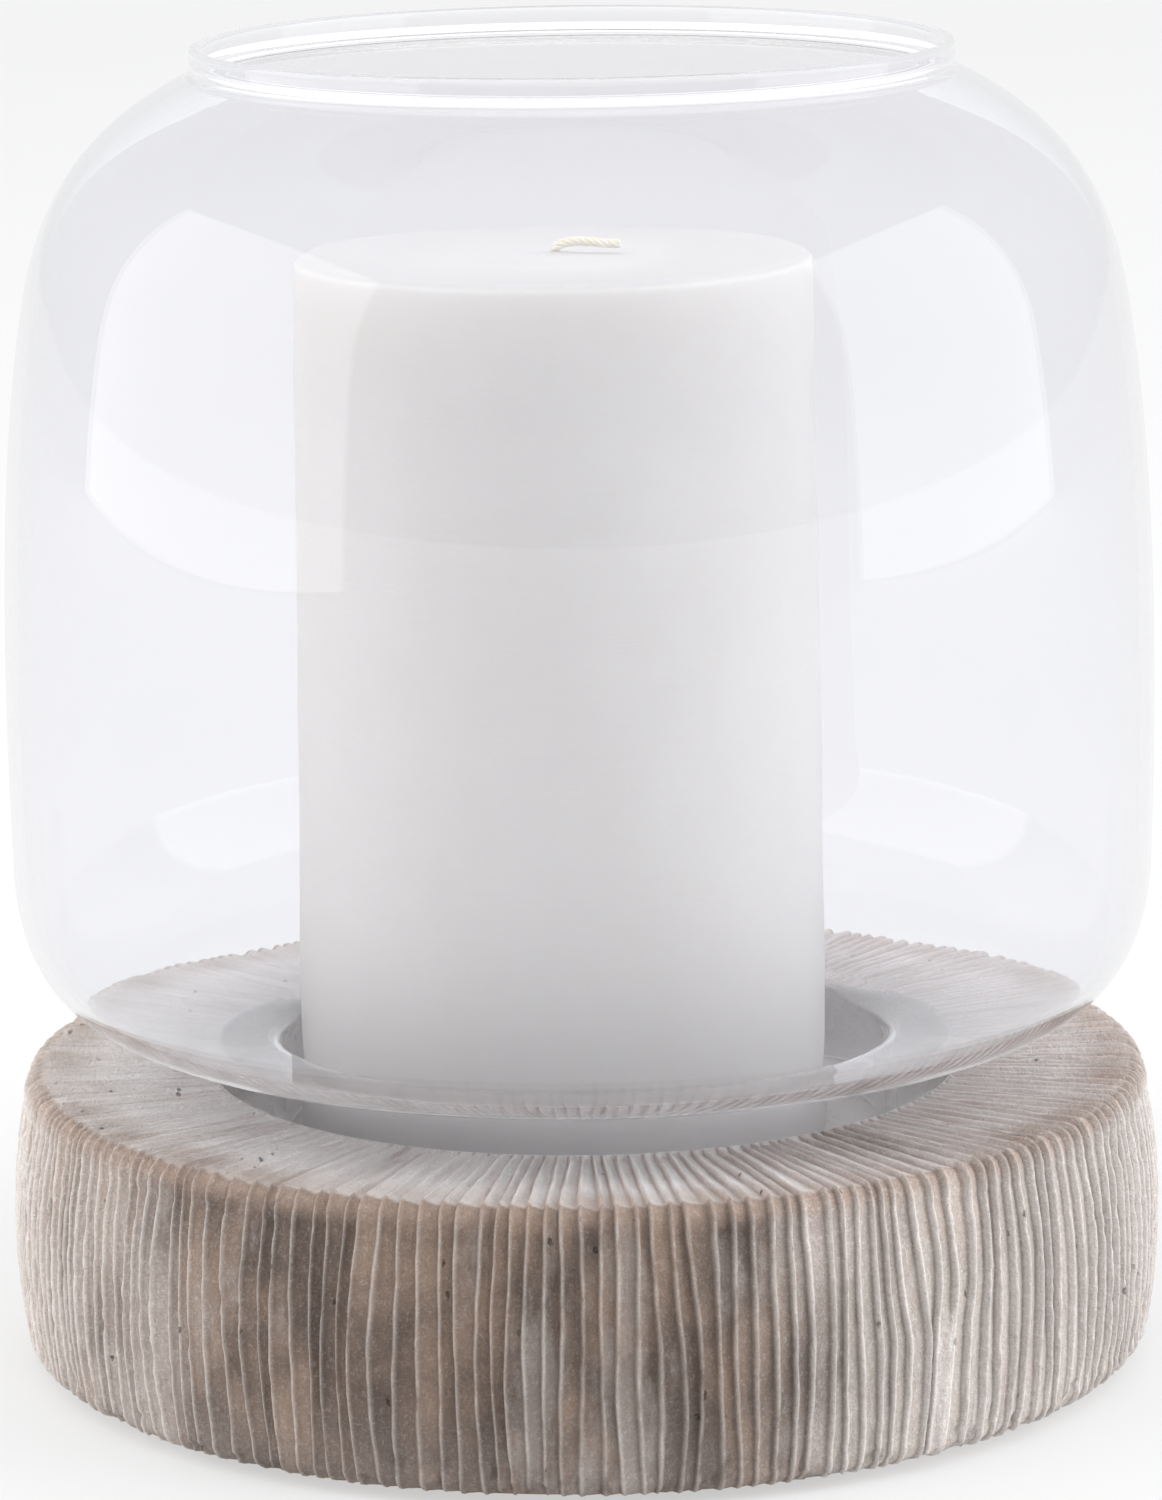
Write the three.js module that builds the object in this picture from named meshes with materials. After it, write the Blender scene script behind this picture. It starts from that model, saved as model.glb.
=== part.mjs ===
// Hurricane candle lantern: a blown glass shade, open at both ends, and a pillar
// candle, both standing loose in the round well of a heavy cast base.
//
// Millimetres, +Z up. The origin is the middle of the surface that the four felt
// pads rest on. Every turned piece is a profile of (radius, height) points spun
// about its own upright axis; heights in the profiles are above the underside of
// the base, and each mesh is then lifted to its place.
import * as THREE from 'three';

// ---------------------------------------------------------------- dimensions

const CLEARANCE = 0.3;        // gap left where one piece rests on, or sits in, another
const WIDE_FACETS = 48;       // facets round the base and the shade
const CANDLE_FACETS = 40;
const SMALL_FACETS = 24;      // facets round the pads and the sustainer

const pad = { radius: 9, thickness: 1.2, circle: 84, count: 4, edge: 0.3 };
const UNDERSIDE = pad.thickness + CLEARANCE;   // the base's underside above the table

const base = {
  footRadius: 101.5,          // where the flat underside ends
  heelRadius: 106.9,          // top of the rounded bottom edge
  heelHeight: 5,
  bulge: 2.3,                 // how far the side's curve is pulled outwards,
  bulgeFrom: 18,              // between these two heights
  bulgeTo: 34,
  browRadius: 105.9,          // start of the rounded top edge
  browHeight: 46,
  crownRadius: 100.5,         // where the top begins
  height: 53.5,
  topFall: 0.5,               // how much lower the top is at the well
  wellRadius: 69.8,
  wellDepth: 15,
  wellRound: 1.7,             // rounded edge at the mouth of the well
  wellFillet: 2,              // and fillet round its floor
};
const FLOOR = base.height - base.wellDepth;    // the floor of the well

const shade = {
  wall: 2.2,
  collarRadius: 59,           // the straight collar that stands in the well
  collarTop: 56,
  collarRound: 2,             // where the collar turns out into the belly
  bellyRadius: 90,            // the end of the cone under the belly
  bellyHeight: 64.7,
  bellySlope: 15.5,           // degrees above level
  bellyPull: 11,              // how far each rounding reaches along the wall
  heelPull: 16,
  sideRadius: 106.8,          // foot of the tall side
  sideHeight: 94,
  sideLean: 1.2,              // degrees outwards from upright
  sidePull: 32,
  shoulderRadius: 101.4,      // top of the tall side
  shoulderHeight: 200,
  shoulderLean: 10.8,         // degrees inwards from upright
  shoulderPull: 20,
  neckRadius: 69.3,           // where the shoulder meets the lip
  neckHeight: 239.8,
  neckSlope: 25,              // degrees above level
  lipRadius: 70.1,
  lipRound: 1.8,
  lipHeight: 244.5,
};

const candle = { radius: 50, topRadius: 48.2, top: 206, edge: 2, offCentre: -4 };
const wick = {
  radius: 1,
  rise: 2.4,                  // how far it stands above the candle before it bends
  reach: 13.5,                // how far the bent end reaches sideways,
  veer: 0.8,                  // turns to the back
  droop: 0.7,                 // and sinks
  bend: 2,
  sides: 8,
  steps: 90,
};
const sustainer = { radius: 12, plate: 0.5, neckHeight: 7, neckWall: 0.4, fillet: 0.5 };

// --------------------------------------------------------------------- tools

const radians = THREE.MathUtils.degToRad;
const point = (radius, height) => new THREE.Vector2(radius, height);

/** The point that lies a distance from another, at an angle above level. */
function along(start, degrees, distance) {
  const direction = point(Math.cos(radians(degrees)), Math.sin(radians(degrees)));
  return start.clone().addScaledVector(direction, distance);
}

/** A closed body of revolution about Z; the profile runs up the outside. */
function turned(profile, facets) {
  return new THREE.LatheGeometry(profile, facets).rotateX(Math.PI / 2);
}

/** The same run of points moved to its left by a distance. */
function movedLeft(points, distance) {
  return points.map((here, i) => {
    const before = points[Math.max(i - 1, 0)];
    const after = points[Math.min(i + 1, points.length - 1)];
    const run = after.clone().sub(before).normalize();
    return point(here.x - run.y * distance, here.y + run.x * distance);
  });
}

/** A half circle of points that joins the end of one wall face to the next. */
function roundedEdge(from, to, steps) {
  const centre = from.clone().add(to).multiplyScalar(0.5);
  const arm = from.clone().sub(centre);
  return Array.from({ length: steps - 1 }, (_, i) => {
    const turn = Math.PI * (i + 1) / steps;
    return arm.clone().rotateAround(point(0, 0), turn).add(centre);
  });
}

/** A named mesh with its finish, standing at a place above the base's underside. */
function piece(name, geometry, finish, x = 0, y = 0) {
  const mesh = new THREE.Mesh(geometry, new THREE.MeshStandardMaterial(finish));
  mesh.name = name;
  mesh.position.set(x, y, UNDERSIDE);
  return mesh;
}

// -------------------------------------------------------------------- pieces

/** Cast base: rounded heel and brow, gently bulged side, blind round well. */
function makeBase() {
  const outline = new THREE.Path();
  outline.moveTo(0, 0);
  outline.lineTo(base.footRadius, 0);
  outline.quadraticCurveTo(base.heelRadius, 0, base.heelRadius, base.heelHeight);
  outline.bezierCurveTo(
    base.heelRadius + base.bulge, base.bulgeFrom,
    base.heelRadius + base.bulge, base.bulgeTo,
    base.browRadius, base.browHeight,
  );
  outline.quadraticCurveTo(base.browRadius, base.height, base.crownRadius, base.height);
  const wellMouth = base.height - base.topFall;
  outline.lineTo(base.wellRadius + base.wellRound, wellMouth);
  outline.quadraticCurveTo(
    base.wellRadius, wellMouth,
    base.wellRadius, wellMouth - base.wellRound,
  );
  outline.lineTo(base.wellRadius, FLOOR + base.wellFillet);
  outline.quadraticCurveTo(base.wellRadius, FLOOR, base.wellRadius - base.wellFillet, FLOOR);
  outline.lineTo(0, FLOOR);
  const finish = { color: 0xa9958a, roughness: 0.95, metalness: 0 };
  return piece('base', turned(outline.getPoints(4), WIDE_FACETS), finish);
}

/** Blown shade: collar, belly, tall side, round shoulder and a rolled lip. */
function makeShade() {
  const belly = point(shade.bellyRadius, shade.bellyHeight);
  const side = point(shade.sideRadius, shade.sideHeight);
  const shoulder = point(shade.shoulderRadius, shade.shoulderHeight);
  const neck = point(shade.neckRadius, shade.neckHeight);
  const upright = 90;

  const outline = new THREE.Path();
  const curveTo = (a, b, end) => outline.bezierCurveTo(a.x, a.y, b.x, b.y, end.x, end.y);
  outline.moveTo(shade.collarRadius, FLOOR + CLEARANCE + shade.wall / 2);
  outline.lineTo(shade.collarRadius, shade.collarTop - shade.collarRound);
  const coneRun = belly.x - shade.collarRadius - shade.collarRound;
  const cone = along(belly, 180 + shade.bellySlope, coneRun);
  outline.quadraticCurveTo(shade.collarRadius, shade.collarTop, cone.x, cone.y);
  outline.lineTo(belly.x, belly.y);
  curveTo(
    along(belly, shade.bellySlope, shade.bellyPull),
    along(side, -upright, shade.heelPull),
    side,
  );
  curveTo(
    along(side, upright - shade.sideLean, shade.sidePull),
    along(shoulder, shade.shoulderLean - upright, shade.sidePull),
    shoulder,
  );
  curveTo(
    along(shoulder, upright + shade.shoulderLean, shade.shoulderPull),
    along(neck, -shade.neckSlope, shade.shoulderPull),
    neck,
  );
  outline.quadraticCurveTo(
    shade.lipRadius, shade.neckHeight,
    shade.lipRadius, shade.neckHeight + shade.lipRound,
  );
  outline.lineTo(shade.lipRadius, shade.lipHeight - shade.wall / 2);

  const outside = outline.getPoints(4);
  const inside = movedLeft(outside, shade.wall).reverse();
  const lip = roundedEdge(outside.at(-1), inside[0], 4);
  const foot = roundedEdge(inside.at(-1), outside[0], 4);
  const profile = [...outside, ...lip, ...inside, ...foot, outside[0].clone()];
  const finish = {
    color: 0xeef2f1, roughness: 0.04, metalness: 0, transparent: true, opacity: 0.35,
  };
  return piece('glass_shade', turned(profile, WIDE_FACETS), finish);
}

/** Pillar candle, a little slimmer at the top, with a wick bore and, underneath, a seat for the sustainer. */
function makeCandle() {
  const foot = FLOOR + CLEARANCE;
  const bore = wick.radius + CLEARANCE;
  const neckSeat = bore + sustainer.neckWall + 2 * CLEARANCE;
  const plateSeat = sustainer.radius + CLEARANCE;
  const plateTop = foot + sustainer.plate + 2 * CLEARANCE;
  const neckTop = foot + sustainer.neckHeight + 2 * CLEARANCE;
  const { radius, topRadius, top, edge } = candle;

  const outline = new THREE.Path();
  outline.moveTo(plateSeat, foot);
  outline.lineTo(radius - edge, foot);
  outline.quadraticCurveTo(radius, foot, radius, foot + edge);
  outline.lineTo(topRadius, top - edge);
  outline.quadraticCurveTo(topRadius, top, topRadius - edge, top);
  outline.lineTo(bore, top);
  outline.lineTo(bore, neckTop);
  outline.lineTo(neckSeat, neckTop);
  outline.lineTo(neckSeat, plateTop);
  outline.lineTo(plateSeat, plateTop);
  outline.lineTo(plateSeat, foot);
  const finish = { color: 0xf1f0ec, roughness: 0.5, metalness: 0 };
  return piece('candle', turned(outline.getPoints(3), CANDLE_FACETS), finish, candle.offCentre);
}

/** Tinned steel plate and crimped neck that hold the foot of the wick. */
function makeSustainer() {
  const foot = FLOOR + CLEARANCE;
  const bore = wick.radius + CLEARANCE;
  const neck = bore + sustainer.neckWall;
  const profile = [
    point(bore, foot),
    point(sustainer.radius, foot),
    point(sustainer.radius, foot + sustainer.plate),
    point(neck + sustainer.fillet, foot + sustainer.plate),
    point(neck, foot + sustainer.plate + sustainer.fillet),
    point(neck, foot + sustainer.neckHeight),
    point(bore, foot + sustainer.neckHeight),
    point(bore, foot),
  ];
  const finish = { color: 0xc9cbcd, roughness: 0.35, metalness: 1 };
  return piece('wick_sustainer', turned(profile, SMALL_FACETS), finish, candle.offCentre);
}

/** Cotton wick: straight up the bore, then bent over and lying along the top. */
function makeWick() {
  const bottom = new THREE.Vector3(0, 0, FLOOR + 2 * CLEARANCE);
  const elbow = new THREE.Vector3(0, 0, candle.top + wick.rise);
  const tip = new THREE.Vector3(wick.reach, wick.veer, candle.top + wick.rise - wick.droop);
  const below = elbow.clone().setZ(elbow.z - wick.bend);
  const beyond = elbow.clone().lerp(tip, wick.bend / wick.reach);

  const path = new THREE.CurvePath();
  path.add(new THREE.LineCurve3(bottom, below));
  path.add(new THREE.QuadraticBezierCurve3(below, elbow, beyond));
  path.add(new THREE.LineCurve3(beyond, tip));

  const section = new THREE.Shape().absarc(0, 0, wick.radius, 0, 2 * Math.PI);
  const geometry = new THREE.ExtrudeGeometry(section, {
    extrudePath: path,
    steps: wick.steps,
    curveSegments: wick.sides / 2,
    bevelEnabled: false,
  });
  const finish = { color: 0xd9c9a0, roughness: 0.9, metalness: 0 };
  return piece('wick', geometry, finish, candle.offCentre);
}

/** A felt disc with a softened lower edge, glued under the base. */
function makePad(index) {
  const { radius, thickness, edge, circle, count } = pad;
  const profile = [
    point(0, 0), point(radius - edge, 0), point(radius, edge),
    point(radius, thickness), point(0, thickness),
  ];
  const turn = 2 * Math.PI * (index + 0.5) / count;
  const finish = { color: 0x4a4540, roughness: 1, metalness: 0 };
  const mesh = piece(`foot_pad_${index + 1}`, turned(profile, SMALL_FACETS), finish,
    circle * Math.cos(turn), circle * Math.sin(turn));
  mesh.position.z = 0;
  return mesh;
}

const lantern = new THREE.Group();
lantern.add(makeBase(), makeShade(), makeCandle(), makeSustainer(), makeWick());
for (let index = 0; index < pad.count; index += 1) lantern.add(makePad(index));

export default lantern;
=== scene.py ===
import math

import bpy
import numpy as np
from mathutils import Matrix, Vector, noise


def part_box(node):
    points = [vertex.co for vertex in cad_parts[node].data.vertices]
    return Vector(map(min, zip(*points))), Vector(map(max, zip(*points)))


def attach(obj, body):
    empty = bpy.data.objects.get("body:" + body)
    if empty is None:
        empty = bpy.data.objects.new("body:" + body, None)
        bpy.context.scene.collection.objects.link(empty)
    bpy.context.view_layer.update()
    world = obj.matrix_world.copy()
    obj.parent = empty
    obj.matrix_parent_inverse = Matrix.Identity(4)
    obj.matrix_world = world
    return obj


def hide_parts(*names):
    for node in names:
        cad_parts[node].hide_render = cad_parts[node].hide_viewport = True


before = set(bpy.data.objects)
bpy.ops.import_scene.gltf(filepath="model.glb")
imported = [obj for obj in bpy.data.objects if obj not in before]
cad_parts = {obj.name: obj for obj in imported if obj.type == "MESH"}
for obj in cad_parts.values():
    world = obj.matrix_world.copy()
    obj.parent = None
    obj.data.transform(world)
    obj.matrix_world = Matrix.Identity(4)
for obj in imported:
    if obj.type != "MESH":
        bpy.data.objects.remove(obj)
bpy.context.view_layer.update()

bl_info = {
    "name": "Hurricane Candle Lantern",
    "version": (1, 0, 0),
    "blender": (4, 5, 0),
    "location": "View3D > Sidebar > Lantern",
    "description": "Makes a blown glass hurricane shade and a pillar candle on a combed clay base",
    "category": "Add Mesh",
}

MM = 0.001
TURN = 2 * math.pi
WHITE = (1.0, 1.0, 1.0, 1.0)


# ---- places
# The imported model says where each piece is; every size below starts from its box.

def spread(node):
    """Middle, radius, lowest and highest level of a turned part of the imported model."""
    low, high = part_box(node)
    middle = ((low[0] + high[0]) / 2, (low[1] + high[1]) / 2)
    return middle, (high[0] - low[0]) / 2, low[2], high[2]


_, BASE_RADIUS, BASE_FOOT, BASE_TOP = spread("base")
_, _, SHADE_FOOT, SHADE_TOP = spread("glass_shade")
(CANDLE_X, _), CANDLE_RADIUS, CANDLE_FOOT, CANDLE_TOP = spread("candle")


# ---- nodes

def operator(kind, reflected=False):
    """A Python operator on wires, which adds a Math node of its kind."""
    def work(one, two):
        return one.graph.sum(kind, *((two, one) if reflected else (one, two)))
    return work


class Wire:
    """A node's output in Python arithmetic: each sum adds its own Math node."""

    def __init__(self, graph, socket):
        self.graph = graph
        self.socket = socket

    __add__, __radd__ = operator("ADD"), operator("ADD", True)
    __sub__, __rsub__ = operator("SUBTRACT"), operator("SUBTRACT", True)
    __mul__, __rmul__ = operator("MULTIPLY"), operator("MULTIPLY", True)
    __truediv__ = operator("DIVIDE")


class Graph:
    """A node tree that is written as expressions."""

    def __init__(self, tree):
        self.tree = tree

    def node(self, kind, settings=None, inputs=None, out=0):
        """Adds a node: its settings first, then its sockets by name or number."""
        made = self.tree.nodes.new(kind)
        for name, value in (settings or {}).items():
            setattr(made, name, value)
        for key, value in (inputs or {}).items():
            if isinstance(value, Wire):
                self.tree.links.new(value.socket, made.inputs[key])
            else:
                made.inputs[key].default_value = value
        return Wire(self, made.outputs[out]) if made.outputs else made

    def sum(self, operation, *terms, out=0):
        """One Math node, or one Vector Math node where a term is a vector or a colour."""
        wires = [term for term in terms if isinstance(term, Wire)]
        kind = "ShaderNodeMath"
        if any(wire.socket.type not in ("VALUE", "INT") for wire in wires):
            kind = "ShaderNodeVectorMath"
            terms = [t if isinstance(t, (Wire, tuple)) else (t, t, t) for t in terms]
        return self.node(kind, {"operation": operation}, dict(enumerate(terms)), out)

    def spot(self):
        """The place on the piece, in metres."""
        return self.node("ShaderNodeTexCoord", out="Object")

    def axis(self, place, name):
        """One coordinate of a place or direction: X, Y or Z."""
        return self.node("ShaderNodeSeparateXYZ", None, {0: place}, out=name)

    def ramp(self, value, start, end, low=0.0, high=1.0):
        """A smooth step of a value from low to high as it goes from start to end."""
        settings = {"interpolation_type": "SMOOTHSTEP", "clamp": True}
        return self.node("ShaderNodeMapRange", settings, {
            "Value": value, "From Min": start, "From Max": end, "To Min": low, "To Max": high})

    def blend(self, share, first, second, mode="MIX"):
        """Two colours mixed by a share. The sockets go by number, as their names repeat."""
        settings = {"data_type": "RGBA", "blend_type": mode}
        return self.node("ShaderNodeMix", settings, {0: share, 6: first, 7: second}, out=2)

    def cloud(self, place, scale, detail=3.0, rough=0.55, shift=0.0):
        """Noise from 0 to 1, read at a place in metres."""
        inputs = {"Scale": scale, "Detail": detail, "Roughness": rough}
        inputs["Vector"] = place + (shift, shift * 0.7, -shift) if shift else place
        return self.node("ShaderNodeTexNoise", None, inputs)


def shade_of(red, green, blue):
    """A colour on a 0 to 255 screen scale as the linear colour that nodes take."""
    screen = [channel / 255 for channel in (red, green, blue)]
    linear = [c / 12.92 if c <= 0.04045 else ((c + 0.055) / 1.055) ** 2.4 for c in screen]
    return (*linear, 1.0)


def colours(settings, *names):
    """Colours among the settings, in the form that nodes take."""
    return [(*getattr(settings, name), 1.0) for name in names]


def emptied(holder):
    """The node tree of a material, a lamp or a world, with nothing in it yet."""
    holder.use_nodes = True
    holder.node_tree.nodes.clear()
    return Graph(holder.node_tree)


def new_material(name):
    """A material and its graph."""
    material = bpy.data.materials.new(name)
    return material, emptied(material)


def surface(graph, colour, roughness, more=None, bump=None):
    """The shader and the output of a material; bump is (height, distance)."""
    inputs = {"Base Color": colour, "Roughness": roughness, **(more or {})}
    if bump is not None:
        inputs["Normal"] = graph.node("ShaderNodeBump", None, {
            "Height": bump[0], "Distance": bump[1], "Strength": 1.0})
    shader = graph.node("ShaderNodeBsdfPrincipled", None, inputs)
    graph.node("ShaderNodeOutputMaterial", None, {"Surface": shader})


# ---- meshes

def curve(start, first, second, end, steps):
    """Points of a cubic curve in (radius, height), without its first point."""
    p = [np.array(q, float) for q in (start, first, second, end)]
    points = []
    for i in range(1, steps + 1):
        t = i / steps
        s = 1 - t
        points.append(s**3 * p[0] + 3 * s * s * t * p[1] + 3 * s * t * t * p[2] + t**3 * p[3])
    return points


def rounding(start, corner, end, steps):
    """Points of a rounded corner, without its first point."""
    start, corner, end = (np.array(q, float) for q in (start, corner, end))
    return curve(start, start + (corner - start) * 2 / 3, end + (corner - end) * 2 / 3, end, steps)


def line(start, end, steps):
    """Evenly spaced points of a straight stretch, without its first point."""
    start, end = np.array(start, float), np.array(end, float)
    return [start + (end - start) * i / steps for i in range(1, steps + 1)]


def along(start, degrees, distance):
    """The point at a distance from another, at an angle above level."""
    angle = math.radians(degrees)
    return (start[0] + distance * math.cos(angle), start[1] + distance * math.sin(angle))


def outline(start, *stretches):
    """A profile in (radius, height), drawn on from its first point. Each stretch is its
    number of steps and then its end, its corner and end, or its two handles and end."""
    points = [np.array(start, float)]
    for steps, *marks in stretches:
        draw = (line, rounding, curve)[len(marks) - 1]
        points += draw(points[-1], *marks, steps)
    return points


def new_object(name, data):
    """An object in the scene with a mesh, a curve, a lamp or a lens."""
    made = bpy.data.objects.new(name, data)
    bpy.context.scene.collection.objects.link(made)
    return made


def mesh_object(name, points, faces):
    """A smooth-shaded object at the origin, with its place in its mesh."""
    mesh = bpy.data.meshes.new(name)
    mesh.from_pydata([tuple(map(float, p)) for p in points], [], faces)
    mesh.polygons.foreach_set("use_smooth", [True] * len(mesh.polygons))
    mesh.validate()
    return new_object(name, mesh)


def ring_faces(rows, columns, looped):
    """Quads between rings of points; looped joins the last ring to the first."""
    faces = []
    for j in range(rows if looped else rows - 1):
        here, above = j * columns, (j + 1) % rows * columns
        for i in range(columns):
            k = (i + 1) % columns
            faces.append((here + i, here + k, above + k, above + i))
    return faces


def turned(radius, angles, levels):
    """Rings of points at given radii, angles and levels."""
    sides = radius * np.cos(angles), radius * np.sin(angles)
    return np.stack(np.broadcast_arrays(*sides, levels), axis=-1)


def spun(name, profile, columns, middle=(0.0, 0.0), shift=None):
    """A turned piece. A profile that ends on the axis is closed there by one point at each
    end, and any other profile is a closed loop. shift takes the rings of points with their
    angles, radii and levels, and gives the factors of the radii and the rise of each point."""
    profile = np.array(profile, float)
    on_axis = profile[0, 0] < 1e-9
    rings = profile[1:-1] if on_axis else profile
    grid = turned(rings[:, :1], np.arange(columns) * TURN / columns, rings[:, 1:])
    if shift is not None:
        x, y, level = grid.transpose(2, 0, 1)
        scale, rise = shift(grid, np.arctan2(y, x), np.hypot(x, y), level)
        grid = np.stack([x * scale, y * scale, level + rise], axis=2)
    grid = grid + (*middle, 0.0)
    points = list(grid.reshape(-1, 3))
    faces = ring_faces(len(rings), columns, not on_axis)
    if on_axis:
        first, last = len(points), len(points) + 1
        points += [(*middle, profile[0, 1]), (*middle, profile[-1, 1])]
        top = (len(rings) - 1) * columns
        for i in range(columns):
            k = (i + 1) % columns
            faces.append((first, k, i))
            faces.append((last, top + i, top + k))
    return mesh_object(name, points, faces)


def store(made, **stored):
    """Stores numbers, or vectors along a third axis, for the points of an object's mesh."""
    for name, values in stored.items():
        kind, field = ("FLOAT_VECTOR", "vector") if values.ndim == 3 else ("FLOAT", "value")
        attribute = made.data.attributes.new(name, kind, "POINT")
        attribute.data.foreach_set(field, np.asarray(values, np.float32).ravel())


def run_tree(made, tree, values):
    """Runs a Geometry Nodes tree on an object and keeps only the mesh that it makes."""
    modifier = made.modifiers.new(tree.name, "NODES")
    modifier.node_group = tree
    names = {item.name: item.identifier for item in tree.interface.items_tree}
    for name, value in values.items():
        modifier[names[name]] = value
    seen = made.evaluated_get(bpy.context.evaluated_depsgraph_get())
    result = bpy.data.meshes.new_from_object(seen)
    result.name = made.name
    made.modifiers.remove(modifier)
    if made.type == "MESH":
        made.data = result
        return made
    plain = new_object(made.name + "_mesh", result)
    bpy.data.objects.remove(made)
    return plain


def geometry_tree(name, sizes, counts=()):
    """An empty Geometry Nodes tree with named sizes and whole numbers, and its wires."""
    tree = bpy.data.node_groups.new(name, "GeometryNodeTree")
    tree.interface.new_socket("Geometry", in_out="OUTPUT", socket_type="NodeSocketGeometry")
    for kind, labels in (("Geometry", ("Geometry",)), ("Float", sizes), ("Int", counts)):
        for label in labels:
            tree.interface.new_socket(label, in_out="INPUT", socket_type="NodeSocket" + kind)
    graph = Graph(tree)
    entry = tree.nodes.new("NodeGroupInput")
    return tree, graph, {socket.name: Wire(graph, socket) for socket in entry.outputs}


def finish_tree(graph, geometry, material):
    """The end of every tree: real geometry, its material and the output."""
    real = graph.node("GeometryNodeRealizeInstances", None, {"Geometry": geometry})
    painted = graph.node("GeometryNodeSetMaterial", None, {"Geometry": real, "Material": material})
    graph.node("NodeGroupOutput", None, {0: painted})


def place(made, body, slot, *nodes):
    """The piece rides a body and stands for parts of the model; slot is not used."""
    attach(made, body)
    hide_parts(*nodes)


# ---- base

FLUTE_STEPS = (0.0, 0.08, 0.2, 0.4, 0.62, 0.82, 0.93)   # points across one flute
NARROWEST = 0.12    # width of a pinched flute, where an even one is 1
REACH = 7           # flutes on each side that take up the width a pinched one gives away


def base_profile():
    """Rows of the base from its underside up the side and down into the well: the points
    in metres, how far each has gone from side to top, and how deeply it is combed."""
    foot, top, widest = BASE_FOOT, BASE_TOP, BASE_RADIUS
    heel = (widest - 1.6 * MM, foot + 5 * MM)
    brow = (widest - 2.3 * MM, foot + 47.2 * MM)
    crown = (widest - 6.6 * MM, top)
    bulge = heel[0] + 2.15 * MM
    well, mouth, floor = widest - 38.7 * MM, top - 0.5 * MM, top - 15 * MM
    edge, corner = 1.7 * MM, 2 * MM

    # Each stretch with the range of its step to the top and the range of its combing.
    stretches = (
        ((5, (heel[0], foot), heel), (0, 0), (0, 0.55)),
        ((34, (bulge, foot + 18 * MM), (bulge, foot + 34 * MM), brow), (0, 0), (0.55, 1)),
        ((12, (brow[0], top), crown), (0, 1), (1, 1)),
        ((12, (well + edge, mouth)), (1, 1), (1, 1)),
        ((3, (well, mouth), (well, mouth - edge)), (1, 1), (0.8, 0)),
        ((3, (well, floor + corner)), (1, 1), (0, 0)),
        ((2, (well, floor), (well - corner, floor)), (1, 1), (0, 0)),
    )
    rows = outline((widest - 7.0 * MM, foot), *(stretch for stretch, _, _ in stretches))
    over, comb = [0.0], [0.0]
    for (steps, *_), (over_from, over_to), (comb_from, comb_to) in stretches:
        for i in range(1, steps + 1):
            share = i / steps
            crest = min(1.0, max(0.0, (share - 0.5) / 0.5))
            over.append(over_from + (over_to - over_from) * crest)
            comb.append(comb_from + (comb_to - comb_from) * min(1.0, 3 * share))
    return np.array(rows), np.array(over), np.array(comb)


def flute_edges(settings, rows):
    """The angle of each ridge at each row. Flutes differ in width, wander together, and
    here and there one pinches out so that its two ridges run into one."""
    draw = np.random.default_rng(settings.seed)
    count = settings.flutes
    run = np.r_[0, np.cumsum(np.hypot(*np.diff(rows, axis=0).T))] / MM
    widths = 1 + settings.unevenness * draw.uniform(-1, 1, (count, 1)) + 0 * run
    for _ in range(settings.merges):
        flute = draw.integers(count)
        height, length = draw.uniform(14, 48), draw.uniform(10, 20)
        downwards = draw.random() < 0.7
        step = np.clip((run - height) / length + 0.5, 0, 1)
        step = step * step * (3 - 2 * step)
        lost = 0.8 * (1 - step if downwards else step) * np.maximum(widths[flute], 0.4)
        widths[flute] = np.maximum(widths[flute] - lost, NARROWEST)
        for away in range(1, REACH + 1):
            gained = lost * (REACH + 1 - away) / (REACH * (REACH + 1))
            for neighbour in (flute - away, flute + away):
                widths[neighbour % count] = widths[neighbour % count] + gained
    edges = np.cumsum(widths, axis=0)
    room = np.minimum(widths, np.roll(widths, -1, axis=0))
    for shortest, longest, share in ((40, 70, 0.09), (9, 16, 0.02)):
        phase = draw.uniform(0, TURN, (count, 1))
        pitch = draw.uniform(shortest, longest, (count, 1))
        edges = edges + share * room * np.sin(run * TURN / pitch + phase)
    edges = edges * TURN / widths.sum(axis=0)
    for waves, length in ((7, 150), (16, 95), (29, 60)):
        phase, lean = draw.uniform(0, TURN), draw.uniform(0, TURN)
        sway = np.sin(edges * waves + phase) * np.sin(run * TURN / length + lean)
        edges = edges + settings.wander / BASE_RADIUS * sway
    return edges.T, widths.T


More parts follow.
